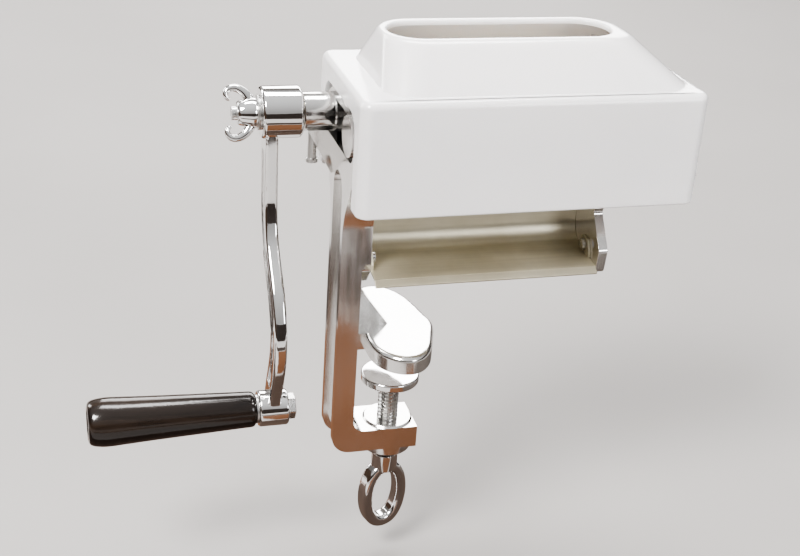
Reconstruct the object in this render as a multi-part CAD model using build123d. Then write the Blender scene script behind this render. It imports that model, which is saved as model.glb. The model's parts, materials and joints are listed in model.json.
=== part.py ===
from build123d import *
import math
import os

# Clamp-on, hand-cranked meat tenderizer.  Millimetres, +Z up.
# Origin: centre of the fixed jaw's underside, on the clamp screw's axis.
# +X runs along the rollers, away from the crank.  -Y is the side where meat comes out.

# rollers and shafts
ROLL_Y, ROLL_Z = 17.0, 106.5        # half the centre distance, and height over the table
ROLL_X0, ROLL_X1 = -14.0, 88.5
ROLL_TIP_R, ROLL_CORE_R = 16.4, 12.0
RINGS, RING_POINTS, RING_W = 16, 16, 3.6
SHAFT_R, RUN_CLEAR = 5.0, 0.05
SHAFT_END = 111.0
BUSH_R = 7.0
SQUARE = 7.0                        # square end that carries the crank

# casting and end plates
COL_X0, COL_X1 = -30.0, -20.0
WEB_X0, WEB_X1 = -20.0, -16.0       # near end plate, one casting with the column
FAR_X0, FAR_X1 = 90.5, 95.0         # far end plate
PLATE = [(-36, 86), (-36, 112), (-26, 122), (26, 122), (36, 112), (36, 86), (27, 77), (25, 50),
         (20, 36), (10, 30), (-6, 31), (-19, 36), (-20.5, 47), (-9.5, 62), (-12, 74), (-27, 79)]
NEAR_PLATE = PLATE[:10] + [(-5, 32), (-11.5, 40), (-11.5, 62), (-13.5, 73), (-27, 79)]
ARM_Z0, ARM_Z1 = -56.0, -45.0       # lower arm of the C
BOSS_R, BOSS_Z0, BOSS_Z1 = 12.0, -60.5, -44.0
JAW_T, JAW_Y = 8.3, 37.6
BEAR_X = -43.5                      # outer end of the drive bearing boss

# tie rods and fasteners
ROD_R = 2.5
TIE_Y, TIE_Z = 31.5, 89.0
LOW_Y, LOW_Z = 19.0, 52.0
NUT_AF, NUT_H = 8.0, 3.6

# gears, one to one
TEETH, MODULE = 17, 2.0
GEAR_X0, GEAR_X1 = 99.5, 107.5
CLIP_X0, CLIP_X1 = 108.2, 109.4

# cover
COV_X0, COV_X1, COV_Y = -31.2, 124.8, 39.3
COV_Z0, COV_Z1, COV_T = 77.0, 128.3, 2.4
COV_SEAT, COV_IN = 122.8, 120.4       # floor of the nuts' recesses, and the inner face of the bosses behind them
HOP_Z, HOP_X = 147.7, 39.3          # top and middle of the feed opening
FEED_L, FEED_W = 101.6, 27.2

# crank
CRANK_X, ARM_T, ARM_W = -58.0, 6.0, 12.0
HUB_X0, HUB_X1, HUB_R = -62.5, -44.5, 11.5
GRIP_Y, GRIP_Z = -5.0, -31.0
EYE_X0, EYE_X1, EYE_R = -65.0, -51.0, 8.5
GRIP_X0, GRIP_X1 = -142.5, -66.4
SPINDLE_R = 3.5

# clamp screw
SCREW_R, PAD_R = 5.0, 14.0
PAD_TOP, PAD_LOW = -20.0, -27.0
BOW_TURN = 16.0


def tube(x0, x1, r, y, z, bore=0.0):
    """Cylinder along X about the line at y, z."""
    s = Pos((x0 + x1) / 2, y, z) * Rot(0, 90, 0) * Cylinder(r, x1 - x0)
    if bore:
        s -= Pos((x0 + x1) / 2, y, z) * Rot(0, 90, 0) * Cylinder(bore, x1 - x0)
    return s


def upright(z0, z1, r, x=0.0, y=0.0):
    return Pos(x, y, (z0 + z1) / 2) * Cylinder(r, z1 - z0)


def block(x0, x1, y0, y1, z0, z1):
    return Pos((x0 + x1) / 2, (y0 + y1) / 2, (z0 + z1) / 2) * Box(x1 - x0, y1 - y0, z1 - z0)


def yz_prism(points, x0, x1):
    """Polygon of (y, z) points, extruded along X."""
    return extrude(make_face(Polyline(*[(x0, y, z) for y, z in points], close=True)), amount=x1 - x0, dir=(1, 0, 0))


def xz_prism(points, y0, y1):
    """Polygon of (x, z) points, extruded along Y."""
    return extrude(make_face(Polyline(*[(x, y0, z) for x, z in points], close=True)), amount=y1 - y0, dir=(0, 1, 0))


def mirrored(half):
    return half + [(-y, z) for y, z in reversed(half)]


def corner(cx, cz, r, a0, a1, n=9):
    return [(cx + r * math.cos(math.radians(a0 + (a1 - a0) * i / n)), cz + r * math.sin(math.radians(a0 + (a1 - a0) * i / n))) for i in range(n + 1)]


def hex_nut(x0, x1, y, z, af, bore):
    pts = [(y + af / math.sqrt(3) * math.cos(math.radians(60 * i)), z + af / math.sqrt(3) * math.sin(math.radians(60 * i))) for i in range(6)]
    return yz_prism(pts, x0, x1) & tube(x0, x1, af / 2 * 1.1, y, z) - tube(x0 - 1, x1 + 1, bore, y, z)


def plate(x0, x1, outline=PLATE):
    p = yz_prism(outline, x0, x1)
    return fillet(p.edges().filter_by(Axis.X), 2.6)


os.makedirs("parts", exist_ok=True)
SIDES = (1, -1)

# ------------------------------------------------------------ clamp frame
L = COL_X0
c_profile = [(L, 97), (COL_X1, 97)] + corner(COL_X1 + 6, ARM_Z1 + 6, 6, 180, 270) + [(12, ARM_Z1), (12, ARM_Z0)] + corner(L + 9, ARM_Z0 + 9, 9, 270, 180)
flare = mirrored([(11.5, -58), (11.5, 60), (13.5, 68), (18, 77), (24, 86), (26, 92), (26, 98)])
column = xz_prism(c_profile, -30, 30) & yz_prism(flare, -40, 20)
rim = yz_prism(mirrored([(11.5, 60), (13.5, 68), (18, 77), (24, 86), (26, 92), (26, 108), (19, 117.5)]), L, WEB_X0)
pocket = fillet(block(L - 2, -22, -22.5, 22.5, 95, 114).edges().filter_by(Axis.X), 5.0)
casting = column + rim - pocket
# channel down the outer face and round the bottom corner
chan = [(L - 3, 90), (L + 3, 90)] + corner(L + 9, ARM_Z0 + 9, 6, 180, 270) + [(-10.5, ARM_Z0 + 3), (-10.5, ARM_Z0 - 3), (L - 3, ARM_Z0 - 3)]
mask = [(-8, ARM_Z0 - 4), (8, ARM_Z0 - 4)] + corner(0, 76.4, 8, 0, 180, 16)
casting -= xz_prism(chan, -20, 20) & yz_prism(mask, -40, 20)
casting += plate(WEB_X0, WEB_X1, NEAR_PLATE)
casting += tube(BEAR_X, -29, 8.5, ROLL_Y, ROLL_Z) + tube(L, WEB_X1, 10, ROLL_Y, ROLL_Z) + tube(-31.5, WEB_X1, 9, -ROLL_Y, ROLL_Z)
casting += xz_prism([(-42.3, 100), (-29, 100), (-29, 80), (-31.3, 80)], 9.2, 13.4)
# fixed jaw, its neck and gusset
jaw_pts = [(17.4, 0), (13.9, 18), (7.3, 32.6), (0, JAW_Y), (-9, 35.2), (-15, 27), (-16.6, 14), (-16.6, -14), (-15, -27), (-9, -35.2), (0, -JAW_Y), (7.3, -32.6), (13.9, -18)]
jaw = extrude(make_face(Spline(*[(x, y, 0) for x, y in jaw_pts], periodic=True)), amount=JAW_T, dir=(0, 0, 1))
jaw = fillet(jaw.edges().group_by(Axis.Z)[-1], 2.5)
casting += jaw + block(COL_X1 - 1, -10, -11.5, 11.5, 0, JAW_T)
casting += xz_prism([(COL_X1 - 1, JAW_T - 1), (-3.3, JAW_T - 1), (-4, JAW_T), (COL_X1, 30), (COL_X1 - 1, 30)], -3.5, 3.5)
boss = upright(BOSS_Z0, BOSS_Z1, BOSS_R)
casting += chamfer(boss.edges().filter_by(GeomType.CIRCLE), 0.8)
casting -= upright(-70, -35, SCREW_R + RUN_CLEAR)
casting -= tube(-60, 0, BUSH_R, ROLL_Y, ROLL_Z) + tube(-28, 0, BUSH_R, -ROLL_Y, ROLL_Z)
casting -= upright(92, ROLL_Z, 2.0, -38.5, ROLL_Y)


def plate_holes(x0, x1):
    h = tube(x0, x1, ROD_R + 0.1, LOW_Y, LOW_Z)
    for s in SIDES:
        h += tube(x0, x1, ROD_R + 0.1, s * TIE_Y, TIE_Z)
    for y, z in CHUTE_SCREWS:
        h += tube(x0, x1, 1.5, y, z)
    return h


CHUTE_SCREWS = [(6.5, 68.0), (-6.0, 44.6)]
clamp_frame = casting - plate_holes(WEB_X0 - 3, WEB_X1 + 1)
far_end_plate = plate(FAR_X0, FAR_X1) - plate_holes(FAR_X0 - 1, FAR_X1 + 1)
for s in SIDES:
    far_end_plate -= tube(FAR_X0 - 1, FAR_X1 + 1, BUSH_R, s * ROLL_Y, ROLL_Z)

# ------------------------------------------------------------ tie rods and nuts
N0, F1 = WEB_X0 - NUT_H, FAR_X1 + NUT_H
front_tie_rod = tube(N0 - 0.6, COV_X1 - 0.1, ROD_R, -TIE_Y, TIE_Z)
rear_tie_rod = tube(N0 - 0.6, COV_X1 - 0.1, ROD_R, TIE_Y, TIE_Z)
lower_tie_rod = tube(N0 - 0.4, F1 + 1.0, ROD_R, LOW_Y, LOW_Z)
tie_rod_nuts = []
for y, z in ((-TIE_Y, TIE_Z), (TIE_Y, TIE_Z), (LOW_Y, LOW_Z)):
    tie_rod_nuts += [hex_nut(N0, WEB_X0, y, z, NUT_AF, ROD_R), hex_nut(FAR_X1, F1, y, z, NUT_AF, ROD_R)]
cover_back_nuts = [hex_nut(COV_IN - NUT_H, COV_IN, s * TIE_Y, TIE_Z, NUT_AF, ROD_R) for s in SIDES]
# low round nuts that lie in the cover's recesses, with a slot to turn them
cover_flat_nuts = []
for s in SIDES:
    nut = tube(COV_SEAT, COV_X1 - 0.1, 5.3, s * TIE_Y, TIE_Z)
    nut = chamfer(nut.faces().sort_by(Axis.X)[-1].edges(), 0.3) - tube(COV_SEAT - 1, COV_X1 + 1, ROD_R, s * TIE_Y, TIE_Z)
    cover_flat_nuts.append(nut - block(COV_X1 - 0.9, COV_X1 + 1, s * TIE_Y - 0.6, s * TIE_Y + 0.6, TIE_Z - 7, TIE_Z + 7))

# ------------------------------------------------------------ safety cover
def plan(length, width, r, x, z):
    return Pos(x, 0, z) * RectangleRounded(length, width, r)


shell = block(COV_X0, COV_X1, -COV_Y, COV_Y, COV_Z0, COV_Z1)
shell = fillet(shell.edges().filter_by(Axis.Z), 5.0)
shell = fillet(shell.edges().group_by(Axis.Z)[-1], 2.6)
hopper = loft([plan(140, 71, 9, 51, 127.0), plan(FEED_L + 5, FEED_W + 5, 16.0, HOP_X, HOP_Z)], ruled=True)
hopper = fillet(hopper.edges().group_by(Axis.Z)[-1], 1.0)
outside = shell + hopper
cavity = block(COV_X0 + COV_T, COV_X1 - COV_T, -COV_Y + COV_T, COV_Y - COV_T, COV_Z0 - 2, COV_Z1 - COV_T)
cavity = fillet(cavity.edges().filter_by(Axis.Z), 1.2)
funnel = loft([plan(136.4, 68.0, 7.5, 51, 125.0), plan(FEED_L + 2, FEED_W + 2, 14.5, HOP_X, 145.0)], ruled=True)
slot = extrude(plan(FEED_L, FEED_W, 13.5, HOP_X, 140.0), amount=12, dir=(0, 0, 1))
notch = yz_prism(mirrored([(28, 70), (28, 110)] + corner(19, 110, 9, 0, 90)[1:]), COV_X0 - 1, COV_X0 + COV_T + 1)
safety_cover = outside - cavity - funnel - slot - notch
for s in SIDES:
    boss = block(COV_IN, COV_X1 - 1.0, s * TIE_Y - 7.0, s * TIE_Y + 7.0, TIE_Z - 7.5, TIE_Z + 7.5) & shell
    safety_cover += boss
    safety_cover -= tube(COV_X1 - 8, COV_X1 + 5, ROD_R + 0.2, s * TIE_Y, TIE_Z) + tube(COV_SEAT, COV_X1 + 5, 5.6, s * TIE_Y, TIE_Z)
    for x0 in (WEB_X0 + 0.6, FAR_X0 + 0.8):
        y0, y1 = sorted((s * 19.5, s * 23.5))
        safety_cover += block(x0, x0 + 3.0, y0, y1, 122.0, 146.0) & outside

# ------------------------------------------------------------ discharge chute
line = [(13.0, 86.0), (9.9, 54.0)]
line += [(1.9 + 8 * math.cos(math.radians(a)), 53.2 - 8 * math.sin(math.radians(a)) * 1.42) for a in range(12, 85, 9)]
line += [(-19.0, 38.6), (-21.6, 36.4)]


def strip(path, t):
    sides = ([], [])
    for i, (y, z) in enumerate(path):
        a, b = path[max(0, i - 1)], path[min(len(path) - 1, i + 1)]
        dy, dz = b[0] - a[0], b[1] - a[1]
        d = math.hypot(dy, dz)
        sides[0].append((y - t / 2 * dz / d, z + t / 2 * dy / d))
        sides[1].append((y + t / 2 * dz / d, z - t / 2 * dy / d))
    return sides[0] + sides[1][::-1]


CX0, CX1, CT = WEB_X1, FAR_X0, 1.2
discharge_chute = yz_prism(strip(line, CT), CX0, CX1)
for x0 in (CX0, CX1 - CT):
    discharge_chute += yz_prism([(11.0, 63), (12.0, 73), (4, 73), (3, 70), (3, 66), (5, 63)], x0, x0 + CT)
    discharge_chute += yz_prism([(-12, 39.6), (-12, 43), (-9, 48.4), (-3, 48.4), (0, 44), (0, 41.4)], x0, x0 + CT)
for y, z in CHUTE_SCREWS:
    discharge_chute -= tube(CX0 - 1, CX1 + 1, 1.5, y, z)
chute_screws = []
for y, z in CHUTE_SCREWS:
    for a, b, c, d in ((CX0 - 4.2, CX0 + CT, CX0 + CT, CX0 + CT + 1.8), (CX1 - CT, CX1 + 4.2, CX1 - CT - 1.8, CX1 - CT)):
        head = tube(c, d, 2.7, y, z)
        chute_screws.append(tube(a, b, 1.5, y, z) + head)

# ------------------------------------------------------------ rollers
def roller(s):
    y = s * ROLL_Y
    drum = tube(ROLL_X0, ROLL_X1, ROLL_CORE_R, y, ROLL_Z)
    pitch = (ROLL_X1 - ROLL_X0 - 2.0) / RINGS
    for k in range(RINGS):
        pts = []
        for i in range(2 * RING_POINTS):
            a = math.pi * (i + (k % 2)) / RING_POINTS
            r = ROLL_TIP_R if i % 2 == 0 else ROLL_CORE_R + 0.3
            pts.append((y + r * math.cos(a), ROLL_Z + r * math.sin(a)))
        xc = ROLL_X0 + 1.0 + pitch * (k + 0.5)
        drum += yz_prism(pts, xc - RING_W / 2, xc + RING_W / 2)
    return drum - tube(ROLL_X0 - 1, ROLL_X1 + 1, SHAFT_R, y, ROLL_Z)


drive_roller, driven_roller = roller(1), roller(-1)


def shaft(y, x0):
    sh = tube(x0, SHAFT_END, SHAFT_R, y, ROLL_Z)
    sh = chamfer(sh.faces().sort_by(Axis.X)[-1].edges(), 0.6)
    sh -= tube(CLIP_X0, CLIP_X1, SHAFT_R + 1, y, ROLL_Z, 4.2)
    return sh - block(96.9, 108.2, y - 6, y + 6, ROLL_Z + 4.2, ROLL_Z + 6)


drive_shaft = shaft(ROLL_Y, HUB_X1)
drive_shaft += block(HUB_X0, HUB_X1 + 0.5, ROLL_Y - SQUARE / 2, ROLL_Y + SQUARE / 2, ROLL_Z - SQUARE / 2, ROLL_Z + SQUARE / 2)
drive_shaft += tube(-75.0, HUB_X0 + 0.5, 3.0, ROLL_Y, ROLL_Z)
driven_shaft = shaft(-ROLL_Y, -27.5)
near_bushes = [tube(-43.0, WEB_X1 - 0.4, BUSH_R, ROLL_Y, ROLL_Z, SHAFT_R + RUN_CLEAR), tube(-28.0, WEB_X1 - 0.4, BUSH_R, -ROLL_Y, ROLL_Z, SHAFT_R + RUN_CLEAR)]
far_bushes = [tube(FAR_X0, FAR_X1 + 0.1, BUSH_R, s * ROLL_Y, ROLL_Z, SHAFT_R + RUN_CLEAR) + tube(FAR_X1, FAR_X1 + 1.5, 9.3, s * ROLL_Y, ROLL_Z, SHAFT_R + RUN_CLEAR) for s in SIDES]
thrust_washers = [tube(x, x + 1.5, 9.0, s * ROLL_Y, ROLL_Z, SHAFT_R + RUN_CLEAR) for s in SIDES for x in (WEB_X1, FAR_X0 - 1.5)]
bush_set_screw = upright(84.5, 99.4, 2.0, -38.5, ROLL_Y) + upright(82.7, 84.6, 2.8, -38.5, ROLL_Y)

# ------------------------------------------------------------ gears
def gear(y, centre, backlash=0.26):
    rp = TEETH * MODULE / 2
    rb = rp * math.cos(math.radians(20))
    ra, rf = rp + 0.9 * MODULE, rp - 1.2 * MODULE
    half = math.pi / (2 * TEETH) - backlash / (2 * rp)

    def inv(r):
        return math.sqrt(max((r / rb) ** 2 - 1, 0)) - math.acos(min(rb / r, 1))

    low = max(rb, rf)
    flank = [(low + (ra - low) * i / 5, half + inv(rp) - inv(low + (ra - low) * i / 5)) for i in range(6)]
    pts = []
    for k in range(TEETH):
        c = math.radians(centre) + 2 * math.pi * k / TEETH
        side = ([(rf, flank[0][1] + 0.01)] if rf < rb else []) + flank
        pts += [(y + r * math.cos(c - a), ROLL_Z + r * math.sin(c - a)) for r, a in side]
        pts += [(y + r * math.cos(c + a), ROLL_Z + r * math.sin(c + a)) for r, a in reversed(side)]
    g = yz_prism(pts, GEAR_X0, GEAR_X1) + tube(96.9, CLIP_X0, 8.6, y, ROLL_Z)
    bore = tube(90, 115, SHAFT_R, y, ROLL_Z) - block(90, 115, y - 6, y + 6, ROLL_Z + 4.2, ROLL_Z + 6)
    return g - bore


drive_gear = gear(ROLL_Y, 180.0)
driven_gear = gear(-ROLL_Y, 180.0 / TEETH)


def clip(y):
    return tube(CLIP_X0, CLIP_X1, 7.2, y, ROLL_Z, 4.2) - block(CLIP_X0 - 1, CLIP_X1 + 1, y - 2.8, y + 2.8, ROLL_Z - 9, ROLL_Z)


drive_shaft_clip, driven_shaft_clip = clip(ROLL_Y), clip(-ROLL_Y)

# ------------------------------------------------------------ crank
PATH = [(17, 106.5), (15.2, 90), (14.6, 76), (13.4, 62), (9.2, 50), (1.5, 39.5), (-7, 30.5), (-13, 21), (-16.3, 11), (-15, -1), (-9.5, -15.5), (GRIP_Y, GRIP_Z)]


def rail(sign, half, first, last, x):
    out = []
    for i in range(first, last):
        a, b = PATH[max(0, i - 1)], PATH[min(len(PATH) - 1, i + 1)]
        dy, dz = b[0] - a[0], b[1] - a[1]
        d = math.hypot(dy, dz)
        out.append((x, PATH[i][0] + sign * half * dz / d, PATH[i][1] - sign * half * dy / d))
    return out


def ribbon(half, first, last, x, t):
    a, b = rail(1, half, first, last, x), rail(-1, half, first, last, x)
    face = make_face(Wire([Spline(*a), Line(a[-1], b[-1]), Spline(*reversed(b)), Line(b[0], a[0])]))
    return extrude(face, amount=t, dir=(1, 0, 0))


bar = ribbon(ARM_W / 2, 0, len(PATH), CRANK_X - ARM_T / 2, ARM_T)
bar = fillet([e for e in bar.edges() if e.length > 60], 1.6)
bar -= ribbon(2.6, 1, len(PATH) - 1, CRANK_X - ARM_T / 2 - 1, 2.1)
hub = tube(HUB_X0, HUB_X1, HUB_R, ROLL_Y, ROLL_Z)
hub = fillet(hub.edges().filter_by(GeomType.CIRCLE), 1.5)
eye = tube(EYE_X0, EYE_X1, EYE_R, GRIP_Y, GRIP_Z)
eye = fillet(eye.edges().filter_by(GeomType.CIRCLE), 1.2)
crank_arm = bar + hub + eye
crank_arm -= block(HUB_X0 - 2, HUB_X1 + 2, ROLL_Y - SQUARE / 2, ROLL_Y + SQUARE / 2, ROLL_Z - SQUARE / 2, ROLL_Z + SQUARE / 2)
crank_arm -= tube(EYE_X0 - 2, EYE_X1 + 2, SPINDLE_R, GRIP_Y, GRIP_Z)
crank_washer = tube(HUB_X0 - 1.3, HUB_X0, 7.6, ROLL_Y, ROLL_Z, 3.0)

W = HUB_X0 - 1.3
wing_nut = Pos(W - 4.4, ROLL_Y, ROLL_Z) * Rot(0, -90, 0) * Cone(6.6, 5.2, 8.8)
wing = [(-0.2, 2.0), (-2.5, 5.2), (-6.0, 8.4), (-9.4, 11.9), (-12.6, 13.0), (-14.9, 11.4), (-14.6, 8.6), (-11.4, 6.6), (-8.9, 3.6), (-8.4, 0.5)]
for s in SIDES:
    p = [(W + x, ROLL_Y + s * y, ROLL_Z - 1.6) for x, y in wing]
    wing_nut += extrude(make_face(Wire([Spline(*p), Line(p[-1], p[0])])), amount=3.2, dir=(0, 0, 1))
wing_nut -= tube(W - 16, W + 1, 3.0, ROLL_Y, ROLL_Z)
wing_nut = Pos(0, ROLL_Y, ROLL_Z) * Rot(67, 0, 0) * Pos(0, -ROLL_Y, -ROLL_Z) * wing_nut

a, b = GRIP_X0, GRIP_X1
outline = Wire([
    Line((a, 0, 0), (a, 0, 7.6)),
    Spline((a, 0, 7.6), (a + 0.9, 0, 9.6), (a + 3.6, 0, 10.7), (a + 14, 0, 11.0), (b - 40, 0, 9.9), (b - 16, 0, 8.9), (b - 3.0, 0, 8.4), (b - 0.8, 0, 8.0), (b, 0, 7.2)),
    Line((b, 0, 7.2), (b, 0, 0)),
    Line((b, 0, 0), (a, 0, 0)),
])
handle_grip = Pos(0, GRIP_Y, GRIP_Z) * revolve(make_face(outline), Axis.X)
handle_grip -= tube(a - 1, b + 1, SPINDLE_R + RUN_CLEAR, GRIP_Y, GRIP_Z) + tube(a - 1, a + 4.5, 6.2, GRIP_Y, GRIP_Z)
grip_spindle = tube(a + 4.0, EYE_X1 + 3.4, SPINDLE_R, GRIP_Y, GRIP_Z) + tube(a + 1.0, a + 4.1, 5.6, GRIP_Y, GRIP_Z)
grip_spindle -= block(a, a + 2.2, GRIP_Y - 7, GRIP_Y + 7, GRIP_Z - 0.6, GRIP_Z + 0.6)
grip_washer = tube(EYE_X0 - 1.1, EYE_X0, 6.8, GRIP_Y, GRIP_Z, SPINDLE_R)
grip_lock_nut = hex_nut(EYE_X1, EYE_X1 + 3.4, GRIP_Y, GRIP_Z, 11.0, SPINDLE_R)

# ------------------------------------------------------------ clamp screw
swivel_pad = upright(PAD_TOP - 4, PAD_TOP, PAD_R)
swivel_pad = fillet(swivel_pad.edges().filter_by(GeomType.CIRCLE), 1.0)
swivel_pad += upright(PAD_LOW, PAD_TOP - 3.9, 8.2)
swivel_pad -= upright(PAD_TOP - 3.4, PAD_TOP - 1.4, 5.3) + upright(PAD_LOW - 1, PAD_TOP - 2, 3.5 + RUN_CLEAR)
clamp_screw = upright(-65.5, PAD_LOW - 0.4, SCREW_R) + upright(PAD_LOW - 0.5, PAD_TOP - 2.2, 3.5) + upright(PAD_TOP - 3.1, PAD_TOP - 1.7, 4.9) + upright(-72.8, -65.4, 4.0)
BOW_Z, BOW_RX, BOW_RZ = -89.0, 12.5, 19.0


def oval(rx, rz):
    n = 20
    return Spline(*[(rx * math.copysign(abs(math.cos(t)) ** 0.86, math.cos(t)), -4.0, BOW_Z + rz * math.sin(t)) for t in [2 * math.pi * i / n + 0.05 for i in range(n)]], periodic=True)


ring = extrude(make_face(oval(BOW_RX, BOW_RZ)), amount=8, dir=(0, 1, 0)) - extrude(make_face(oval(BOW_RX - 5.6, BOW_RZ - 6.0)), amount=8, dir=(0, 1, 0))
ring = fillet(ring.edges(), 2.2)
screw_bow_handle = ring + upright(-73.6, -64.8, 6.5)
screw_bow_handle -= upright(-72.8, -60, 4.0) + upright(-65.5, -60, SCREW_R)
screw_bow_handle = Rot(0, 0, BOW_TURN) * screw_bow_handle

PARTS = {
    "clamp_frame": clamp_frame, "far_end_plate": far_end_plate,
    "front_tie_rod": front_tie_rod, "rear_tie_rod": rear_tie_rod, "lower_tie_rod": lower_tie_rod,
    "tie_rod_nuts": tie_rod_nuts, "cover_back_nuts": cover_back_nuts, "cover_flat_nuts": cover_flat_nuts,
    "safety_cover": safety_cover, "discharge_chute": discharge_chute, "chute_screws": chute_screws,
    "drive_roller": drive_roller, "driven_roller": driven_roller,
    "drive_shaft": drive_shaft, "driven_shaft": driven_shaft,
    "near_bushes": near_bushes, "far_bushes": far_bushes, "thrust_washers": thrust_washers,
    "bush_set_screw": bush_set_screw, "drive_gear": drive_gear, "driven_gear": driven_gear,
    "drive_shaft_clip": drive_shaft_clip, "driven_shaft_clip": driven_shaft_clip,
    "crank_arm": crank_arm, "crank_washer": crank_washer, "wing_nut": wing_nut,
    "handle_grip": handle_grip, "grip_spindle": grip_spindle, "grip_washer": grip_washer, "grip_lock_nut": grip_lock_nut,
    "clamp_screw": clamp_screw, "screw_bow_handle": screw_bow_handle, "swivel_pad": swivel_pad,
}
for name, shape in PARTS.items():
    if isinstance(shape, list):
        shape = Compound(children=[s.solids()[0] for s in shape])
    elif len(shape.solids()) == 1:
        shape = shape.solids()[0]
    export_step(shape, f"parts/{name}.step")
    print(name, len(shape.solids()))
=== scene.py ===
import json
import math

import bmesh
import bpy
from mathutils import Matrix, Vector


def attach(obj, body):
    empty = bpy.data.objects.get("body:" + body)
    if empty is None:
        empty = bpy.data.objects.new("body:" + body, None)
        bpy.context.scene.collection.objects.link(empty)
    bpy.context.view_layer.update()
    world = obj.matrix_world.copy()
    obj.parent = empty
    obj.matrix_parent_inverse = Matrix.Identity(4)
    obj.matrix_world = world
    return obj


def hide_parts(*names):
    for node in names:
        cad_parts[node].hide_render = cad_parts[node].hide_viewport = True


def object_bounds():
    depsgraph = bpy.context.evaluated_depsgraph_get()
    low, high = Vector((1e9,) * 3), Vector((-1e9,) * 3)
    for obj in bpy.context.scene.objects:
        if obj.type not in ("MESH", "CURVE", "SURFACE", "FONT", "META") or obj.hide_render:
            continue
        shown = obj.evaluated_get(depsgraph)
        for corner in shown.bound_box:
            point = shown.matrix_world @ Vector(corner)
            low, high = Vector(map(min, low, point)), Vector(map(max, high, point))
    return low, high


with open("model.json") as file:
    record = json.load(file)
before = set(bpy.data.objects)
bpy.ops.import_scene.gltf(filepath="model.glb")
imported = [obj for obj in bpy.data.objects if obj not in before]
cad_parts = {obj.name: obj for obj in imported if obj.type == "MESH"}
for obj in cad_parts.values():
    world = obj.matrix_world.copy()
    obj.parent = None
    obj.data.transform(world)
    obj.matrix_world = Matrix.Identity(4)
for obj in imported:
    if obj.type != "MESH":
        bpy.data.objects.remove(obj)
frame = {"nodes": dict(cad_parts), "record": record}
nodes = frame["nodes"]
CAD_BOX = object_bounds()
scene = bpy.context.scene
MM = 0.001

# ------------------------------------------------------------------ camera
cam_data = bpy.data.cameras.new("camera")
cam = bpy.data.objects.new("camera", cam_data)
scene.collection.objects.link(cam)
right = Vector((0.961084, -0.268749, 0.063970))
up = Vector((0.061650, 0.434370, 0.898622))
back = Vector((-0.269290, -0.859707, 0.434034))
rot = Matrix((right, up, back)).transposed().to_4x4()
cam.matrix_world = Matrix.Translation(Vector((-0.166478, -0.536660, 0.300744))) @ rot
cam_data.sensor_width = 36.0
cam_data.lens = 60.624
cam_data.clip_start, cam_data.clip_end = 0.02, 30.0
scene.camera = cam


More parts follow.
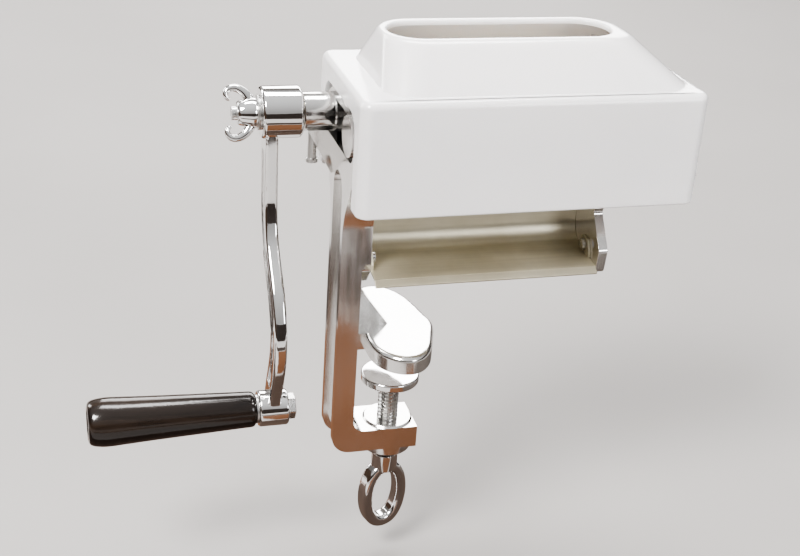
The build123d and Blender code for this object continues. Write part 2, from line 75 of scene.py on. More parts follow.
# ------------------------------------------------------------------ materials
class Mat:
    """A small helper for building node materials in object space, in metres."""

    def __init__(self, name):
        self.m = bpy.data.materials.new(name)
        self.m.use_nodes = True
        self.nt = self.m.node_tree
        self.bsdf = self.nt.nodes["Principled BSDF"]
        tc = self.nt.nodes.new("ShaderNodeTexCoord")
        self.coord = tc.outputs["Object"]
        self.normal = None

    def put(self, socket, value):
        self.bsdf.inputs[socket].default_value = value
        return self

    def node(self, kind, **inputs):
        n = self.nt.nodes.new(kind)
        for k, v in inputs.items():
            n.inputs[k.replace("_", " ")].default_value = v
        return n

    def link(self, a, b):
        self.nt.links.new(a, b)

    def mapped(self, scale=(1, 1, 1), rotation=(0, 0, 0)):
        n = self.nt.nodes.new("ShaderNodeMapping")
        n.inputs["Scale"].default_value = scale
        n.inputs["Rotation"].default_value = rotation
        self.link(self.coord, n.inputs["Vector"])
        return n.outputs["Vector"]

    def noise(self, scale, detail=4.0, rough=0.55, stretch=None, rotation=(0, 0, 0), distortion=0.0):
        n = self.nt.nodes.new("ShaderNodeTexNoise")
        n.inputs["Scale"].default_value = scale
        n.inputs["Detail"].default_value = detail
        n.inputs["Roughness"].default_value = rough
        n.inputs["Distortion"].default_value = distortion
        self.link(self.mapped(stretch or (1, 1, 1), rotation), n.inputs["Vector"])
        return n.outputs["Fac"]

    def voronoi(self, scale, feature="F1"):
        n = self.nt.nodes.new("ShaderNodeTexVoronoi")
        n.feature = feature
        n.inputs["Scale"].default_value = scale
        self.link(self.coord, n.inputs["Vector"])
        return n.outputs["Distance"]

    def ramp(self, fac, stops):
        n = self.nt.nodes.new("ShaderNodeValToRGB")
        while len(n.color_ramp.elements) < len(stops):
            n.color_ramp.elements.new(0.5)
        for e, (p, c) in zip(n.color_ramp.elements, stops):
            e.position = p
            e.color = (*c, 1) if not isinstance(c, (int, float)) else (c, c, c, 1)
        self.link(fac, n.inputs["Fac"])
        return n.outputs["Color"]

    def mix(self, a, b, fac, blend="MIX"):
        n = self.nt.nodes.new("ShaderNodeMix")
        n.data_type = "RGBA"
        n.blend_type = blend
        if isinstance(fac, (int, float)):
            n.inputs[0].default_value = fac
        else:
            self.link(fac, n.inputs[0])
        for sock, v in ((n.inputs[6], a), (n.inputs[7], b)):
            if isinstance(v, tuple):
                sock.default_value = (*v, 1)
            else:
                self.link(v, sock)
        return n.outputs[2]

    def math(self, op, a, b=0.0):
        n = self.nt.nodes.new("ShaderNodeMath")
        n.operation = op
        for sock, v in ((n.inputs[0], a), (n.inputs[1], b)):
            if isinstance(v, (int, float)):
                sock.default_value = v
            else:
                self.link(v, sock)
        return n.outputs[0]

    def span(self, fac, low, high, a=0.0, b=1.0):
        n = self.nt.nodes.new("ShaderNodeMapRange")
        n.inputs["From Min"].default_value = a
        n.inputs["From Max"].default_value = b
        n.inputs["To Min"].default_value = low
        n.inputs["To Max"].default_value = high
        self.link(fac, n.inputs["Value"])
        return n.outputs["Result"]

    def bump(self, height, distance, strength=1.0):
        n = self.nt.nodes.new("ShaderNodeBump")
        n.inputs["Distance"].default_value = distance
        n.inputs["Strength"].default_value = strength
        self.link(height, n.inputs["Height"])
        if self.normal:
            self.link(self.normal, n.inputs["Normal"])
        self.normal = n.outputs["Normal"]
        self.link(self.normal, self.bsdf.inputs["Normal"])
        return self

    def color(self, out):
        self.link(out, self.bsdf.inputs["Base Color"])
        return self

    def rough(self, out):
        self.link(out, self.bsdf.inputs["Roughness"])
        return self

    def painted_occlusion_shade(self, distance=0.006):
        """Painted shade: a value from ambient occlusion that darkens the base colour in corners and recesses."""
        n = self.nt.nodes.new("ShaderNodeAmbientOcclusion")
        n.samples = 8
        n.inputs["Distance"].default_value = distance
        return n.outputs["AO"]

    def edges(self, radius=0.0006, scale=1.0):
        """Bright on worn edges: the pointiness of the surface."""
        g = self.nt.nodes.new("ShaderNodeNewGeometry")
        return g.outputs["Pointiness"]


def polished_casting():
    m = Mat("polished_cast_aluminium").put("Metallic", 1.0)
    broad = m.noise(26.0, 3.0, 0.5)
    fine = m.noise(900.0, 5.0, 0.65)
    lines = m.noise(260.0, 3.0, 0.6, stretch=(1.0, 1.0, 0.06))
    base = m.ramp(broad, [(0.3, (0.80, 0.79, 0.775)), (0.7, (0.90, 0.895, 0.885))])
    speck = m.ramp(fine, [(0.28, (0.62, 0.60, 0.57)), (0.42, (1, 1, 1))])
    m.color(m.mix(base, speck, 0.35, "MULTIPLY"))
    r = m.span(broad, 0.10, 0.20, 0.3, 0.7)
    r = m.math("ADD", r, m.span(lines, -0.02, 0.06, 0.3, 0.7))
    m.rough(r)
    m.bump(broad, 0.0009, 0.35)
    m.bump(lines, 0.00004, 0.35)
    m.bump(fine, 0.00003, 0.25)
    return m.m


def chrome():
    m = Mat("chrome_plate").put("Metallic", 1.0)
    broad = m.noise(40.0, 2.0, 0.5)
    fine = m.noise(1400.0, 4.0, 0.6)
    m.color(m.ramp(broad, [(0.3, (0.87, 0.865, 0.86)), (0.7, (0.95, 0.95, 0.95))]))
    m.rough(m.span(m.noise(120.0, 4.0, 0.6), 0.035, 0.11, 0.35, 0.7))
    m.bump(broad, 0.0007, 0.35)
    m.bump(fine, 0.00001, 0.3)
    return m.m


def zinc_steel():
    m = Mat("bright_steel").put("Metallic", 1.0)
    ring = m.noise(700.0, 3.0, 0.6, stretch=(1.0, 0.12, 0.12))
    blotch = m.noise(150.0, 4.0, 0.6)
    m.color(m.ramp(blotch, [(0.3, (0.60, 0.595, 0.585)), (0.7, (0.76, 0.755, 0.745))]))
    m.rough(m.span(ring, 0.20, 0.36, 0.3, 0.7))
    m.bump(ring, 0.00003, 0.5)
    return m.m


def chute_sheet():
    m = Mat("rolled_sheet_steel").put("Metallic", 0.70)
    grain = m.noise(420.0, 5.0, 0.65, stretch=(0.03, 1.0, 1.0))
    blotch = m.noise(30.0, 4.0, 0.6)
    base = m.ramp(blotch, [(0.3, (0.66, 0.61, 0.48)), (0.7, (0.78, 0.735, 0.60))])
    m.color(m.mix(base, m.ramp(grain, [(0.3, 0.84), (0.7, 1.0)]), 0.8, "MULTIPLY"))
    m.rough(m.span(grain, 0.32, 0.46, 0.3, 0.7))
    m.put("Anisotropic", 0.45)
    m.bump(grain, 0.00003, 0.6)
    return m.m


def white_cover():
    m = Mat("gloss_white_plastic")
    blotch = m.noise(14.0, 3.0, 0.5)
    peel = m.noise(330.0, 3.0, 0.5)
    fleck = m.noise(1600.0, 2.0, 0.5)
    base = m.ramp(blotch, [(0.3, (0.885, 0.86, 0.862)), (0.7, (0.92, 0.895, 0.895))])
    m.color(m.mix(base, m.ramp(fleck, [(0.3, 0.965), (0.6, 1.0)]), 0.6, "MULTIPLY"))
    m.rough(m.span(peel, 0.17, 0.25, 0.3, 0.7))
    m.put("IOR", 1.5)
    m.put("Coat Weight", 0.35)
    m.put("Coat Roughness", 0.08)
    m.put("Subsurface Weight", 0.55)
    m.put("Subsurface Radius", (1.0, 0.93, 0.90))
    m.put("Subsurface Scale", 0.0045)
    m.bump(peel, 0.00004, 0.35)
    m.bump(blotch, 0.0004, 0.18)
    return m.m


def roller_plastic():
    m = Mat("cream_nylon")
    blotch = m.noise(70.0, 4.0, 0.6)
    grain = m.noise(900.0, 4.0, 0.6)
    base = m.ramp(blotch, [(0.3, (0.80, 0.755, 0.64)), (0.7, (0.88, 0.84, 0.73))])
    # Painted shade: the base colour is darkened by ambient occlusion between the points and in other recesses.
    m.color(m.mix(base, m.ramp(m.painted_occlusion_shade(0.003), [(0.2, (0.62, 0.55, 0.44)), (0.9, (1, 1, 1))]), 0.7, "MULTIPLY"))
    m.rough(m.span(grain, 0.38, 0.5, 0.3, 0.7))
    m.put("Subsurface Weight", 0.25)
    m.put("Subsurface Radius", (1.0, 0.75, 0.45))
    m.put("Subsurface Scale", 0.002)
    m.bump(grain, 0.00004, 0.5)
    return m.m


def gear_plastic():
    m = Mat("natural_acetal")
    blotch = m.noise(60.0, 4.0, 0.6)
    grain = m.noise(700.0, 4.0, 0.6)
    base = m.ramp(blotch, [(0.3, (0.70, 0.67, 0.58)), (0.7, (0.78, 0.75, 0.67))])
    # Painted shade: the base colour is darkened by ambient occlusion in corners and recesses.
    m.color(m.mix(base, m.ramp(m.painted_occlusion_shade(0.003), [(0.2, (0.5, 0.46, 0.38)), (0.9, (1, 1, 1))]), 0.6, "MULTIPLY"))
    m.rough(m.span(grain, 0.36, 0.48, 0.3, 0.7))
    m.bump(grain, 0.00004, 0.5)
    return m.m


def grip_plastic():
    m = Mat("gloss_black_grip")
    streak = m.noise(160.0, 4.0, 0.6, stretch=(0.08, 1.0, 1.0), distortion=0.4)
    fine = m.noise(1100.0, 3.0, 0.6)
    m.color(m.ramp(streak, [(0.3, (0.012, 0.009, 0.008)), (0.55, (0.026, 0.018, 0.014)), (0.8, (0.05, 0.032, 0.022))]))
    m.rough(m.span(streak, 0.14, 0.26, 0.3, 0.7))
    m.put("Coat Weight", 0.5)
    m.put("Coat Roughness", 0.06)
    m.bump(streak, 0.00006, 0.4)
    m.bump(fine, 0.00001, 0.4)
    m.bump(m.noise(420.0, 5.0, 0.7, stretch=(0.2, 1.0, 1.0)), 0.00003, 0.3)
    return m.m


def brass():
    m = Mat("sintered_bronze").put("Metallic", 1.0)
    blotch = m.noise(300.0, 5.0, 0.65)
    m.color(m.ramp(blotch, [(0.3, (0.50, 0.34, 0.15)), (0.7, (0.74, 0.55, 0.28))]))
    m.rough(m.span(blotch, 0.26, 0.42, 0.3, 0.7))
    m.bump(blotch, 0.00004, 0.5)
    return m.m


def floor_material():
    m = Mat("studio_floor")
    soft = m.noise(3.0, 3.0, 0.5)
    m.color(m.ramp(soft, [(0.3, (0.40, 0.385, 0.375)), (0.7, (0.43, 0.415, 0.405))]))
    m.put("Roughness", 0.85)
    m.put("Specular IOR Level", 0.0)
    return m.m


MATS = {
    "cast_aluminium": polished_casting(), "chrome": chrome(), "steel": zinc_steel(),
    "chute_steel": chute_sheet(), "cover_white": white_cover(), "roller_cream": roller_plastic(),
    "gear_plastic": gear_plastic(), "grip_black": grip_plastic(), "bush_brass": brass(),
}
SLOT = {s["node"]: s["material_slot"] for s in frame["record"]["subparts"]}
BODY = {n: b for b, ns in frame["record"]["behaviour"]["bodies"].items() for n in ns}


# ------------------------------------------------------------------ mesh tools
def new_object(name, bm, material, body, angle=32.0):
    me = bpy.data.meshes.new(name)
    bm.normal_update()
    bm.to_mesh(me)
    bm.free()
    for p in me.polygons:
        p.use_smooth = True
    me.set_sharp_from_angle(angle=math.radians(angle))
    ob = bpy.data.objects.new(name, me)
    scene.collection.objects.link(ob)
    me.materials.append(MATS[material])
    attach(ob, body)
    return ob


def refine(node, name, width=0.35, segments=2, angle=28.0):
    """A copy of a CAD piece's mesh with small rounded edges, which shows in its place."""
    bm = bmesh.new()
    bm.from_mesh(nodes[node].data)
    bmesh.ops.remove_doubles(bm, verts=bm.verts, dist=2e-6)
    bmesh.ops.dissolve_limit(bm, angle_limit=math.radians(0.4), verts=bm.verts, edges=bm.edges, delimit={"NORMAL"})
    bm.normal_update()
    sharp = [e for e in bm.edges if len(e.link_faces) == 2 and e.calc_face_angle(0.0) > math.radians(angle)]
    if width and sharp:
        bmesh.ops.bevel(bm, geom=sharp, offset=width * MM, offset_type="OFFSET", segments=segments, profile=0.5, affect="EDGES", clamp_overlap=True, miter_outer="ARC")
    bmesh.ops.remove_doubles(bm, verts=bm.verts, dist=1e-6)
    bmesh.ops.dissolve_degenerate(bm, dist=1e-6, edges=bm.edges)
    bmesh.ops.triangulate(bm, faces=[f for f in bm.faces if len(f.verts) > 4])
    ob = new_object(name, bm, SLOT[node], BODY[node], angle=35.0)
    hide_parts(node)
    wn = ob.modifiers.new("normals", "WEIGHTED_NORMAL")
    wn.keep_sharp = True
    wn.weight = 60
    return ob


def ring_faces(bm, a, b, closed=True):
    n = len(a)
    for i in range(n if closed else n - 1):
        j = (i + 1) % n
        bm.faces.new((a[i], a[j], b[j], b[i]))


def loft_loops(bm, loops, cap_first=False, cap_last=False):
    rows = [[bm.verts.new(p) for p in loop] for loop in loops]
    for a, b in zip(rows, rows[1:]):
        ring_faces(bm, a, b)
    if cap_first:
        bm.faces.new(rows[0][::-1])
    if cap_last:
        bm.faces.new(rows[-1])
    return rows


def lathe_x(bm, profile, y, z, n=64, cap_first=True, cap_last=True):
    """Surface of revolution about the line at y, z along X; profile is (x, r) in mm."""
    loops = [[((x) * MM, (y + r * math.cos(2 * math.pi * i / n)) * MM, (z + r * math.sin(2 * math.pi * i / n)) * MM) for i in range(n)] for x, r in profile]
    return loft_loops(bm, loops, cap_first, cap_last)


def recalc(bm):
    bmesh.ops.recalc_face_normals(bm, faces=bm.faces)
    return bm


# ------------------------------------------------------------------ cover
def rounded(length, width, r, cx, z, steps=12):
    """A rounded rectangle's points, in metres, anticlockwise from its +X +Y corner."""
    out = []
    for sx, sy, a0 in ((1, 1, 0), (-1, 1, 90), (-1, -1, 180), (1, -1, 270)):
        for i in range(steps + 1):
            a = math.radians(a0 + 90.0 * i / steps)
            out.append(((cx + sx * (length / 2 - r) + r * math.cos(a)) * MM, (sy * (width / 2 - r) + r * math.sin(a)) * MM, z * MM))
    return out


def boolean(ob, other, operation):
    mod = ob.modifiers.new("cut", "BOOLEAN")
    mod.object, mod.operation, mod.solver = other, operation, "EXACT"
    deps = bpy.context.evaluated_depsgraph_get()
    me = bpy.data.meshes.new_from_object(ob.evaluated_get(deps))
    ob.modifiers.remove(mod)
    old, ob.data = ob.data, me
    bpy.data.meshes.remove(old)
    spare = other.data
    bpy.data.objects.remove(other)
    bpy.data.meshes.remove(spare)


def loose(name, bm):
    me = bpy.data.meshes.new(name)
    recalc(bm)
    bm.to_mesh(me)
    bm.free()
    ob = bpy.data.objects.new(name, me)
    scene.collection.objects.link(ob)
    return ob


def prism_x(bm, outline, x0, x1):
    loft_loops(bm, [[(x * MM, y * MM, z * MM) for y, z in outline] for x in (x0, x1)], True, True)


COV_X0, COV_X1, COV_Y, COV_Z0, COV_Z1 = -31.2, 124.8, 39.3, 77.0, 128.3
LX, LY, CX = COV_X1 - COV_X0, 2 * COV_Y, (COV_X0 + COV_X1) / 2
TOP_R = 3.4


def swell(u):
    return 1.143 * u if u < 0.75 else 0.857 + 1.143 * (u - 0.75) - 2.286 * (u - 0.75) ** 2


loops = []
for inset, z in ((1.9, 77.0), (1.2, 77.0), (0.6, 77.15), (0.25, 77.5), (0.0, 78.1), (0.0, 90.0), (0.0, 112.0), (0.0, COV_Z1 - TOP_R - 1.0)):
    loops.append(rounded(LX - 2 * inset, LY - 2 * inset, 5.0 - 0.4 * inset, CX, z))
for k in range(0, 8):
    a = math.radians(90.0 * k / 7)
    inset = TOP_R * (1 - math.cos(a))
    loops.append(rounded(LX - 2 * inset, LY - 2 * inset, max(5.0 - inset, 2.4), CX, COV_Z1 - TOP_R * (1 - math.sin(a))))


def hopper(u, dz=0.0, shrink=0.0, z=None):
    return rounded(138.6 + (106.6 - 138.6) * u - shrink, 69.6 + (32.2 - 69.6) * u - shrink, 15.0 + (16.0 - 15.0) * u - shrink / 2, 50.2 + (39.3 - 50.2) * u, z if z is not None else COV_Z1 + (147.7 - COV_Z1) * swell(u) + dz)


loops += [rounded(143.5, 73.0, 7.0, 50.0, COV_Z1), rounded(141.2, 71.6, 13.0, 50.2, COV_Z1), hopper(0.0, 0.15), hopper(0.03, 0.02)]
loops += [hopper(u) for u in (0.08, 0.16, 0.28, 0.40, 0.52, 0.62, 0.70, 0.75, 0.80, 0.85, 0.90, 0.94, 0.97, 1.0)]
loops += [rounded(106.6 - d, 32.2 - d, 16.0 - d / 2, 39.3, z) for d, z in ((1.6, 147.7), (3.0, 147.66), (3.9, 147.45), (4.6, 147.0), (5.0, 146.3), (5.0, 145.4))]
for u in (0.0, 0.25, 0.5, 0.75, 0.955):
    loops.append(rounded(103.6 + 32.8 * u, 29.2 + 38.8 * u, 14.5 - 2.0 * u, 39.3 + 11.7 * u, 145.0 - 20.0 * u))
loops += [rounded(LX - 2 * 5.0, LY - 2 * 3.2, 1.6, CX, 125.9), rounded(LX - 5.2, LY - 5.2, 1.3, CX, 125.7), rounded(LX - 4.8, LY - 4.8, 1.2, CX, 125.2)]
loops += [rounded(LX - 4.8, LY - 4.8, 1.2, CX, z) for z in (110.0, 90.0, 77.5)]
loops += [rounded(LX - 4.4, LY - 4.4, 1.4, CX, 77.1)]
bm = bmesh.new()
rows = loft_loops(bm, loops)
ring_faces(bm, rows[-1], rows[0])
cover = loose("safety_cover_shell", bm)

bm = bmesh.new()
half = [(28.0, 70.0), (28.0, 110.0)] + [(19 + 9 * math.cos(math.radians(a)), 110 + 9 * math.sin(math.radians(a))) for a in range(10, 91, 10)]
prism_x(bm, half + [(-y, z) for y, z in half[::-1]], COV_X0 - 3, COV_X0 + 6)
boolean(cover, loose("cutter", bm), "DIFFERENCE")
bm = bmesh.new()
for s in (1, -1):
    y0, y1 = sorted((s * 24.5, s * 37.6))
    prism_x(bm, [(y0, 81.5), (y1, 81.5), (y1, 96.5), (y0, 96.5)], 120.4, COV_X1 - 1.0)
    for x0, top in ((-19.4, 127.4), (91.3, 138.3)):
        prism_x(bm, [(s * 19.5, 122.0), (s * 23.5, 122.0), (s * 23.5, top), (s * 19.5, top)], x0, x0 + 3.0)
boolean(cover, loose("stops", bm), "UNION")
for r, x0 in ((2.7, 118.0), (5.6, 122.8)):
    bm = bmesh.new()
    for s in (1, -1):
        prism_x(bm, [(s * 31.5 + r * math.cos(2 * math.pi * i / 40), 89.0 + r * math.sin(2 * math.pi * i / 40)) for i in range(40)], x0, COV_X1 + 3)
    boolean(cover, loose("drill", bm), "DIFFERENCE")
bm = bmesh.new()
bm.from_mesh(cover.data)
bmesh.ops.remove_doubles(bm, verts=bm.verts, dist=2e-6)


def on_notch(v):
    x, y, z = (c / MM for c in v.co)
    return x < COV_X0 + 3 and abs(y) < 28.01 and z < 119.01 and (abs(abs(y) - 28.0) < 0.01 or (z > 109.9 and abs(math.hypot(max(abs(y) - 19.0, 0.0), z - 110.0) - 9.0) < 0.08))


lip = [e for e in bm.edges if len(e.link_faces) == 2 and all(on_notch(v) for v in e.verts) and abs(e.verts[0].co.x - e.verts[1].co.x) < 1e-6 and e.calc_face_angle(0.0) > 1.0]
bmesh.ops.bevel(bm, geom=lip, offset=0.55 * MM, offset_type="OFFSET", segments=3, profile=0.5, affect="EDGES", clamp_overlap=True)
bmesh.ops.triangulate(bm, faces=[f for f in bm.faces if len(f.verts) > 4])
print("cover open edges", sum(1 for e in bm.edges if len(e.link_faces) != 2), "lip", len(lip))
spare = cover.data
bpy.data.objects.remove(cover)
bpy.data.meshes.remove(spare)
cover = new_object("safety_cover_finished", bm, "cover_white", BODY["safety_cover"], angle=38.0)
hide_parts("safety_cover")
wn = cover.modifiers.new("normals", "WEIGHTED_NORMAL")
wn.keep_sharp, wn.weight = True, 50


# ------------------------------------------------------------------ rollers
def roller_mesh(node, y):
    x0, x1, tip, core, rings, cols = -14.0, 88.5, 16.4, 12.0, 16, 32
    z = 106.5
    pitch = (x1 - x0 - 2.0) / rings
    bm = bmesh.new()

    def row(x, radii):
        return [bm.verts.new((x * MM, (y + r * math.cos(2 * math.pi * i / cols)) * MM, (z + r * math.sin(2 * math.pi * i / cols)) * MM)) for i, r in enumerate(radii)]

    rows = [row(x0, [5.02] * cols), row(x0, [core - 0.5] * cols), row(x0 + 0.5, [core] * cols)]
    peaks = {}
    for k in range(rings):
        xc = x0 + 1.0 + pitch * (k + 0.5)
        rows.append(row(xc - 2.15, [core] * cols))
        peaks[len(rows)] = k % 2
        rows.append(row(xc, [tip if (i + k) % 2 == 0 else core + 0.35 for i in range(cols)]))
        rows.append(row(xc + 2.15, [core] * cols))
    rows += [row(x1 - 0.5, [core] * cols), row(x1, [core - 0.5] * cols), row(x1, [5.02] * cols)]
    for j, (a, b) in enumerate(zip(rows, rows[1:])):
        for i in range(cols):
            n = (i + 1) % cols
            quad = (a[i], a[n], b[n], b[i])
            if j in peaks or j + 1 in peaks:
                mid = a if j in peaks else b
                k = peaks[j] if j in peaks else peaks[j + 1]
                high = mid[i] if (i + k) % 2 == 0 else mid[n]
                at = quad.index(high)
                q = quad[at:] + quad[:at]
                bm.faces.new((q[0], q[1], q[2]))
                bm.faces.new((q[0], q[2], q[3]))
            else:
                bm.faces.new(quad)
    ring_faces(bm, rows[-1], rows[0])
    recalc(bm)
    points = [e for e in bm.edges if e.calc_face_angle(0.0) > 0.5]
    bmesh.ops.bevel(bm, geom=points, offset=0.16 * MM, offset_type="OFFSET", segments=1, profile=0.5, affect="EDGES", clamp_overlap=True)
    ob = new_object(node + "_points", bm, SLOT[node], BODY[node], angle=30.0)
    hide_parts(node)


roller_mesh("drive_roller", 17.0)
roller_mesh("driven_roller", -17.0)


# ------------------------------------------------------------------ clamp screw with its thread
def lathe_z(bm, profile, n=48, cap_first=True, cap_last=True):
    loops = [[(r * math.cos(2 * math.pi * i / n) * MM, r * math.sin(2 * math.pi * i / n) * MM, z * MM) for i in range(n)] for z, r in profile]
    return loft_loops(bm, loops, cap_first, cap_last)


def helix(bm, z0, z1, major, minor, pitch, n=48):
    shape = [(0.0, minor), (0.10, minor), (0.42, major), (0.58, major), (0.90, minor)]
    turns = int((z1 - z0) / pitch) + 3
    start = z0 - 1.5 * pitch
    cols = []
    for j in range(n + 1):
        a = 2 * math.pi * j / n
        col = []
        for t in range(turns):
            for u, r in shape:
                z = start + (t + u + j / n) * pitch
                edge = min(z - z0, z1 - z)
                r = minor + (r - minor) * max(0.0, min(1.0, edge / 1.2))
                z = min(max(z, z0), z1)
                col.append((r * math.cos(a) * MM, r * math.sin(a) * MM, z * MM))
        cols.append(col)
    verts = [[bm.verts.new(p) for p in col] for col in cols]
    for a, b in zip(verts, verts[1:]):
        for k in range(len(a) - 1):
            bm.faces.new((a[k], b[k], b[k + 1], a[k + 1]))
    bmesh.ops.remove_doubles(bm, verts=bm.verts, dist=4e-6)
    bmesh.ops.dissolve_degenerate(bm, dist=4e-6, edges=bm.edges)
    bmesh.ops.holes_fill(bm, edges=[e for e in bm.edges if len(e.link_faces) == 1], sides=0)


bm = bmesh.new()
helix(bm, -65.5, -27.4, 4.97, 4.0, 2.0)
print("thread open edges", sum(1 for e in bm.edges if len(e.link_faces) != 2))
lathe_z(bm, [(-72.8, 3.6), (-72.4, 3.97), (-65.5, 3.97)])
lathe_z(bm, [(-27.4, 3.45), (-23.1, 3.45), (-23.1, 4.5), (-22.9, 4.9), (-21.9, 4.9), (-21.7, 4.5)])
recalc(bm)
screw = new_object("clamp_screw_threaded", bm, SLOT["clamp_screw"], BODY["clamp_screw"], angle=40.0)
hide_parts("clamp_screw")

# ------------------------------------------------------------------ wing nut with two curled wings
def swept(bm, path, n=20):
    """A closed tube of oval section along a path; each point is (place, wide, thick) with the thin way along normal."""
    pts = [Vector(p[0]) for p in path]
    rings = []
    for i, (p, wide, thick, flat) in enumerate(path):
        t = (pts[min(i + 1, len(pts) - 1)] - pts[max(i - 1, 0)]).normalized()
        side = Vector(flat) - t * t.dot(Vector(flat))
        side.normalize()
        across = t.cross(side)
        rings.append([bm.verts.new((pts[i] + across * wide * math.cos(2 * math.pi * k / n) + side * thick * math.sin(2 * math.pi * k / n)) * MM) for k in range(n)])
    for a, b in zip(rings, rings[1:]):
        ring_faces(bm, a, b)
    bm.faces.new(rings[0][::-1])
    bm.faces.new(rings[-1])


def smooth_path(keys, steps=6):
    """A Catmull-Rom line through the keys, each a tuple of numbers."""
    out = []
    for i in range(len(keys) - 1):
        p0, p1, p2, p3 = keys[max(i - 1, 0)], keys[i], keys[i + 1], keys[min(i + 2, len(keys) - 1)]
        for k in range(steps):
            t = k / steps
            out.append(tuple(0.5 * (2 * b + (c - a) * t + (2 * a - 5 * b + 4 * c - d) * t * t + (3 * b - a - 3 * c + d) * t ** 3) for a, b, c, d in zip(p0, p1, p2, p3)))
    out.append(tuple(keys[-1]))
    return out


W, WY, WZ, WT = -63.8, 17.0, 106.5, math.radians(67.0)
bm = bmesh.new()
lathe_x(bm, [(W, 3.05), (W, 6.2), (W - 0.5, 6.6), (W - 2.6, 6.45), (W - 5.2, 5.9), (W - 7.6, 5.4), (W - 8.5, 4.9), (W - 8.8, 4.2), (W - 8.8, 3.05)], WY, WZ, 48, False, False)
for e0, e1 in ((0, 8),):
    v = list(bm.verts)
    ring_faces(bm, v[e1 * 48:(e1 + 1) * 48], v[e0 * 48:(e0 + 1) * 48])
for s in (1, -1):
    keys = [(-2.4, 4.2, 2.9, 1.7), (-3.4, 6.6, 2.7, 1.65), (-5.6, 9.2, 2.4, 1.6), (-8.9, 10.9, 2.1, 1.55), (-12.0, 10.4, 1.8, 1.5), (-13.3, 8.4, 1.55, 1.4), (-12.7, 6.6, 1.3, 1.25), (-11.6, 5.9, 0.8, 0.8)]
    path = []
    for x, y, wide, thick in smooth_path(keys):
        place = (W + x, WY + s * y * math.cos(WT), WZ + s * y * math.sin(WT))
        path.append((place, wide * 0.8, thick, (0.0, -math.sin(WT), math.cos(WT))))
    swept(bm, path)
recalc(bm)
wings = new_object("wing_nut_curled", bm, "chrome", BODY["wing_nut"], angle=50.0)
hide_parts("wing_nut")

# ------------------------------------------------------------------ CAD pieces that stay or are refined
WIDTHS = {
    "clamp_frame": (0.7, 3), "far_end_plate": (0.6, 3), "crank_arm": (0.5, 3),
    "screw_bow_handle": (0.25, 2), "swivel_pad": (0.2, 1), "discharge_chute": (0.25, 2),
    "tie_rod_nuts": (0.15, 1), "cover_back_nuts": (0.15, 1), "cover_flat_nuts": (0.15, 1), "chute_screws": (0.2, 1),
    "near_bushes": (0.15, 1), "far_bushes": (0.15, 1), "thrust_washers": (0.1, 1), "bush_set_screw": (0.2, 1),
    "drive_gear": (0.12, 1), "driven_gear": (0.12, 1), "drive_shaft_clip": (0.1, 1), "driven_shaft_clip": (0.1, 1),
    "crank_washer": (0.15, 1), "grip_washer": (0.15, 1), "grip_lock_nut": (0.2, 1), "grip_spindle": (0.15, 1),
    "drive_shaft": (0.15, 1), "driven_shaft": (0.15, 1), "handle_grip": (0.7, 4),
    "front_tie_rod": (0.3, 2), "rear_tie_rod": (0.3, 2), "lower_tie_rod": (0.3, 2),
}
for node, (w, s) in WIDTHS.items():
    refine(node, node + "_finished", w, s)
for node, ob in nodes.items():
    ob.data.materials.clear()
    ob.data.materials.append(MATS[SLOT[node]])

# ------------------------------------------------------------------ stage
# low enough for the bow at the screw's lowest place
floor_z = CAD_BOX[0].z - 0.0165
bm = bmesh.new()
loops = []
for k, (y, z) in enumerate([(-9.0, 0.0), (-1.0, 0.0), (0.6, 0.0), (0.9, 0.0)] + [(0.9 + 0.9 * math.sin(a), 0.9 - 0.9 * math.cos(a)) for a in [math.radians(d) for d in range(10, 91, 10)]] + [(1.8, 3.0)]):
    loops.append([(x, y, floor_z + z) for x in (-9.0, -1.0, 1.0, 9.0)])
rows = [[bm.verts.new(p) for p in loop] for loop in loops]
for a, b in zip(rows, rows[1:]):
    ring_faces(bm, a, b, closed=False)
me = bpy.data.meshes.new("floor")
bm.to_mesh(me)
bm.free()
for p in me.polygons:
    p.use_smooth = True
floor = bpy.data.objects.new("floor", me)
me.materials.append(floor_material())
scene.collection.objects.link(floor)


def area(name, location, target, size, power, color=(1, 1, 1)):
    d = bpy.data.lights.new(name, "AREA")
    d.shape = "RECTANGLE"
    d.size, d.size_y = size
    d.energy = power
    d.color = color
    o = bpy.data.objects.new(name, d)
    o.location = location
    o.rotation_euler = (Vector(target) - Vector(location)).to_track_quat("-Z", "Y").to_euler()
    scene.collection.objects.link(o)
    return o


area("key", (-0.95, -0.75, 1.35), (0.02, 0, 0.04), (0.55, 0.55), 24.0, (1.0, 0.985, 0.965))
area("fill", (0.9, -1.5, 0.55), (0.02, 0, 0.03), (0.6, 0.9), 7.0, (0.96, 0.975, 1.0))
area("top", (0.15, 0.35, 1.5), (0.02, 0, 0.05), (1.0, 0.4), 12.0)
area("back", (0.45, 1.35, 0.75), (0.05, 0, 0.0), (1.3, 0.7), 11.0, (1.0, 0.99, 0.985))
area("rim", (-0.9, 1.1, 0.5), (0.0, 0, 0.05), (0.3, 1.0), 5.0)


def card(name, corners, color):
    """A flag that only reflections see."""
    bm = bmesh.new()
    bm.faces.new([bm.verts.new(c) for c in corners])
    me = bpy.data.meshes.new(name)
    bm.to_mesh(me)
    bm.free()
    ob = bpy.data.objects.new(name, me)
    m = Mat(name)
    tone = m.noise(5.0, 2.0, 0.5)
    m.color(m.ramp(tone, [(0.3, tuple(c * 0.8 for c in color)), (0.7, color)]))
    m.put("Roughness", 0.9)
    me.materials.append(m.m)
    scene.collection.objects.link(ob)
    ob.visible_camera = ob.visible_diffuse = ob.visible_shadow = ob.visible_transmission = False


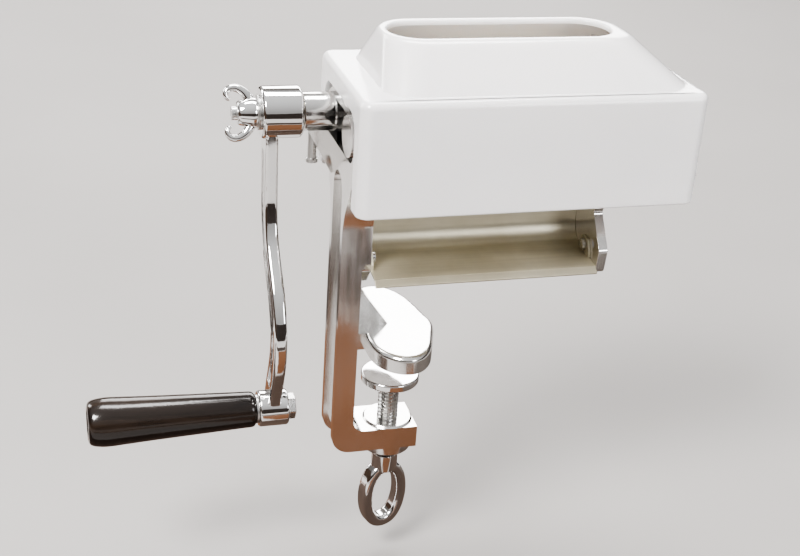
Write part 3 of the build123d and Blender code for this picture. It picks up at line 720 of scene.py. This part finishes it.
card("dark_front", [(-0.9, -0.95, floor_z + 0.01), (1.2, -0.95, floor_z + 0.01), (1.2, -1.0, 0.30), (-0.9, -1.0, 0.30)], (0.035, 0.026, 0.022))
card("dark_left", [(-0.8, -0.9, floor_z + 0.01), (-0.8, 0.9, floor_z + 0.01), (-0.85, 0.9, 0.26), (-0.85, -0.9, 0.26)], (0.06, 0.035, 0.022))
card("dark_right", [(0.95, -0.9, floor_z + 0.01), (0.95, 0.9, floor_z + 0.01), (0.95, 0.9, 0.26), (0.95, -0.9, 0.26)], (0.03, 0.024, 0.022))
card("dark_rear", [(-0.8, 0.95, floor_z + 0.01), (0.95, 0.95, floor_z + 0.01), (0.95, 1.0, 0.16), (-0.8, 1.0, 0.16)], (0.045, 0.036, 0.030))
card("warm_front", [(-0.04, -0.26, floor_z + 0.002), (0.11, -0.26, floor_z + 0.002), (0.11, -0.075, floor_z + 0.002), (-0.04, -0.075, floor_z + 0.002)], (0.15, 0.066, 0.030))
card("warm_behind", [(-0.16, 0.075, floor_z + 0.002), (-0.03, 0.075, floor_z + 0.002), (-0.03, 0.235, floor_z + 0.002), (-0.16, 0.235, floor_z + 0.002)], (0.15, 0.066, 0.030))
card("dark_middle", [(-0.42, -0.07, floor_z + 0.002), (0.11, -0.07, floor_z + 0.002), (0.11, 0.07, floor_z + 0.002), (-0.42, 0.07, floor_z + 0.002)], (0.075, 0.050, 0.038))
card("dark_strip", [(-0.50, -0.38, floor_z + 0.002), (0.45, -0.38, floor_z + 0.002), (0.45, -0.27, floor_z + 0.002), (-0.50, -0.27, floor_z + 0.002)], (0.045, 0.032, 0.026))
card("dark_behind", [(-0.60, 0.24, floor_z + 0.002), (0.45, 0.24, floor_z + 0.002), (0.45, 0.36, floor_z + 0.002), (-0.60, 0.36, floor_z + 0.002)], (0.05, 0.036, 0.030))
card("dark_under", [(0.11, -0.23, floor_z + 0.002), (0.40, -0.23, floor_z + 0.002), (0.40, 0.20, floor_z + 0.002), (0.11, 0.20, floor_z + 0.002)], (0.10, 0.085, 0.075))

world = bpy.data.worlds.new("studio")
scene.world = world
world.use_nodes = True
nt = world.node_tree
tc = nt.nodes.new("ShaderNodeTexCoord")
sep = nt.nodes.new("ShaderNodeSeparateXYZ")
ramp = nt.nodes.new("ShaderNodeValToRGB")
mr = nt.nodes.new("ShaderNodeMapRange")
mr.inputs["From Min"].default_value = -1.0
mr.inputs["From Max"].default_value = 1.0
nt.links.new(tc.outputs["Generated"], sep.inputs[0])
nt.links.new(sep.outputs["Z"], mr.inputs["Value"])
nt.links.new(mr.outputs["Result"], ramp.inputs["Fac"])
stops = [(0.0, (0.30, 0.29, 0.28)), (0.48, (0.40, 0.39, 0.38)), (0.56, (0.46, 0.45, 0.44)), (0.72, (0.62, 0.61, 0.605)), (1.0, (1.0, 1.0, 1.0))]
while len(ramp.color_ramp.elements) < len(stops):
    ramp.color_ramp.elements.new(0.5)
for e, (p, c) in zip(ramp.color_ramp.elements, stops):
    e.position = p
    e.color = (*c, 1)
nt.links.new(ramp.outputs["Color"], nt.nodes["Background"].inputs["Color"])
nt.nodes["Background"].inputs["Strength"].default_value = 0.55

scene.view_settings.view_transform = "AgX"
scene.view_settings.look = "AgX - High Contrast"
scene.view_settings.exposure = 0.32
